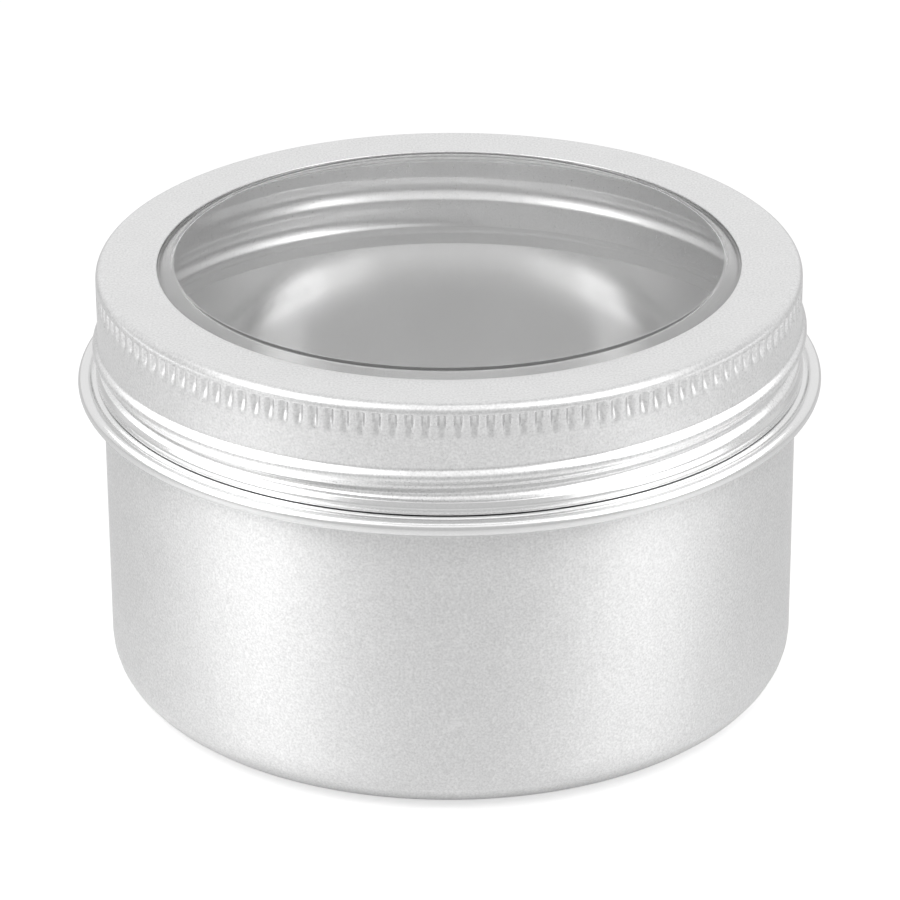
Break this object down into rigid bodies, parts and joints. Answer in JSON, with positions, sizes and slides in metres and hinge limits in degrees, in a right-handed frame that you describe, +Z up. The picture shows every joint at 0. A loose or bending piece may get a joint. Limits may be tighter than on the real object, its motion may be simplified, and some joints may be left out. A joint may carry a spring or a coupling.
{
  "type": "window lid tin",
  "caption": "Round screw tin of satin aluminium, with a clear window held in its knurled lid ring over a foam seal.",
  "frame": {"origin": "middle of the face the tin stands on", "axes": "+Z up through the lid; -Y is the side that faces the viewer"},
  "size_m": [0.068, 0.068, 0.0404],
  "materials": {
    "tin_aluminium": "fine-grained satin outside, smoother drawn metal inside",
    "lid_aluminium": "fine-grained satin, brighter on the rolled thread and hem",
    "window_plastic": "clear glossy thermoformed sheet",
    "seal_foam": "matte closed-cell foam"
  },
  "bodies": {
    "tin": {"tin_body": "tin_aluminium"},
    "liner": {"seal_ring": "seal_foam"},
    "lid": {"lid_ring": "lid_aluminium", "window": "window_plastic"}
  },
  "joints": [
    {"name": "lid_lift", "type": "slide", "parent": "tin", "child": "liner", "axis": [0, 0, 1], "range_m": [0, 0.0105]},
    {"name": "lid_turn", "type": "hinge", "parent": "liner", "child": "lid", "pos_m": [0, 0, 0.0349], "axis": [0, 0, 1], "range_deg": [0, 1260]}
  ],
  "couplings": [
    {"joint": "lid_lift", "follows": "lid_turn", "m_per_rad": 0.00047746}
  ]
}
